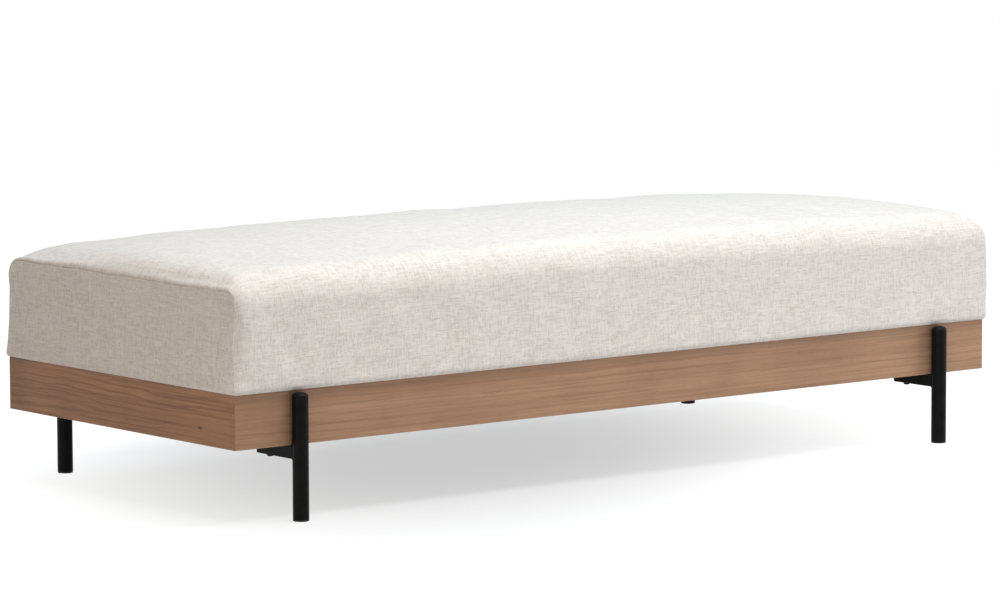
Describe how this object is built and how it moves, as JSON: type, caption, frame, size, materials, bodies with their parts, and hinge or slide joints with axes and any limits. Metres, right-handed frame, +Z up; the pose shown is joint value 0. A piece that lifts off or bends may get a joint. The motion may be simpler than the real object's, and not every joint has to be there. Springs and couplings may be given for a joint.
{
  "type": "backless divan",
  "caption": "Long backless divan: crowned upholstered seat with a seamed fabric cover on a mitred wooden plinth, held by black steel tube legs outside the long boards.",
  "frame": {"origin": "on the floor, under the middle of the seat", "axes": "+X along the seat's length, +Y to its back, +Z up; the picture's camera looks towards +Y and +X"},
  "size_m": [1.872, 0.8056, 0.477],
  "materials": {
    "wood_veneer": "satin",
    "beech": "matte",
    "softwood": "matte",
    "black_steel": "satin",
    "black_plastic": "matte",
    "zinc_steel": "satin",
    "seat_fabric": "matte",
    "wadding": "matte",
    "soft_foam": "matte",
    "firm_foam": "matte",
    "felt": "matte",
    "webbing": "matte",
    "dust_cloth": "matte"
  },
  "bodies": {
    "root": {"bracket_bolt_front_left": "zinc_steel", "bracket_bolt_front_right": "zinc_steel", "bracket_bolt_rear_left": "zinc_steel", "bracket_bolt_rear_right": "zinc_steel", "comfort_layer": "soft_foam", "corner_block_front_left": "beech", "corner_block_front_right": "beech", "corner_block_rear_left": "beech", "corner_block_rear_right": "beech", "cover_end_left": "seat_fabric", "cover_end_right": "seat_fabric", "cover_wrap": "seat_fabric", "cross_strap_1": "webbing", "cross_strap_2": "webbing", "cross_strap_3": "webbing", "cross_strap_4": "webbing", "cross_strap_5": "webbing", "cross_strap_6": "webbing", "cross_strap_7": "webbing", "cross_strap_8": "webbing", "dust_cover": "dust_cloth", "felt_pad": "felt", "foam_core": "firm_foam", "foot_glide_front_left": "black_plastic", "foot_glide_front_right": "black_plastic", "foot_glide_rear_left": "black_plastic", "foot_glide_rear_right": "black_plastic", "front_board": "wood_veneer", "left_end_board": "wood_veneer", "leg_bearer_left": "beech", "leg_bearer_right": "beech", "leg_bolt_front_left": "zinc_steel", "leg_bolt_front_right": "zinc_steel", "leg_bolt_rear_left": "zinc_steel", "leg_bolt_rear_right": "zinc_steel", "leg_bracket_front_left": "black_steel", "leg_bracket_front_right": "black_steel", "leg_bracket_rear_left": "black_steel", "leg_bracket_rear_right": "black_steel", "leg_front_left": "black_steel", "leg_front_right": "black_steel", "leg_rear_left": "black_steel", "leg_rear_right": "black_steel", "long_strap_1": "webbing", "long_strap_2": "webbing", "rear_board": "wood_veneer", "right_end_board": "wood_veneer", "seat_bolt_front_left": "zinc_steel", "seat_bolt_front_right": "zinc_steel", "seat_bolt_rear_left": "zinc_steel", "seat_bolt_rear_right": "zinc_steel", "seat_cross_rail_left": "softwood", "seat_cross_rail_right": "softwood", "seat_front_rail": "softwood", "seat_left_rail": "softwood", "seat_rear_rail": "softwood", "seat_right_rail": "softwood", "wadding_end_left": "wadding", "wadding_end_right": "wadding", "wadding_wrap": "wadding"}
  },
  "joints": []
}
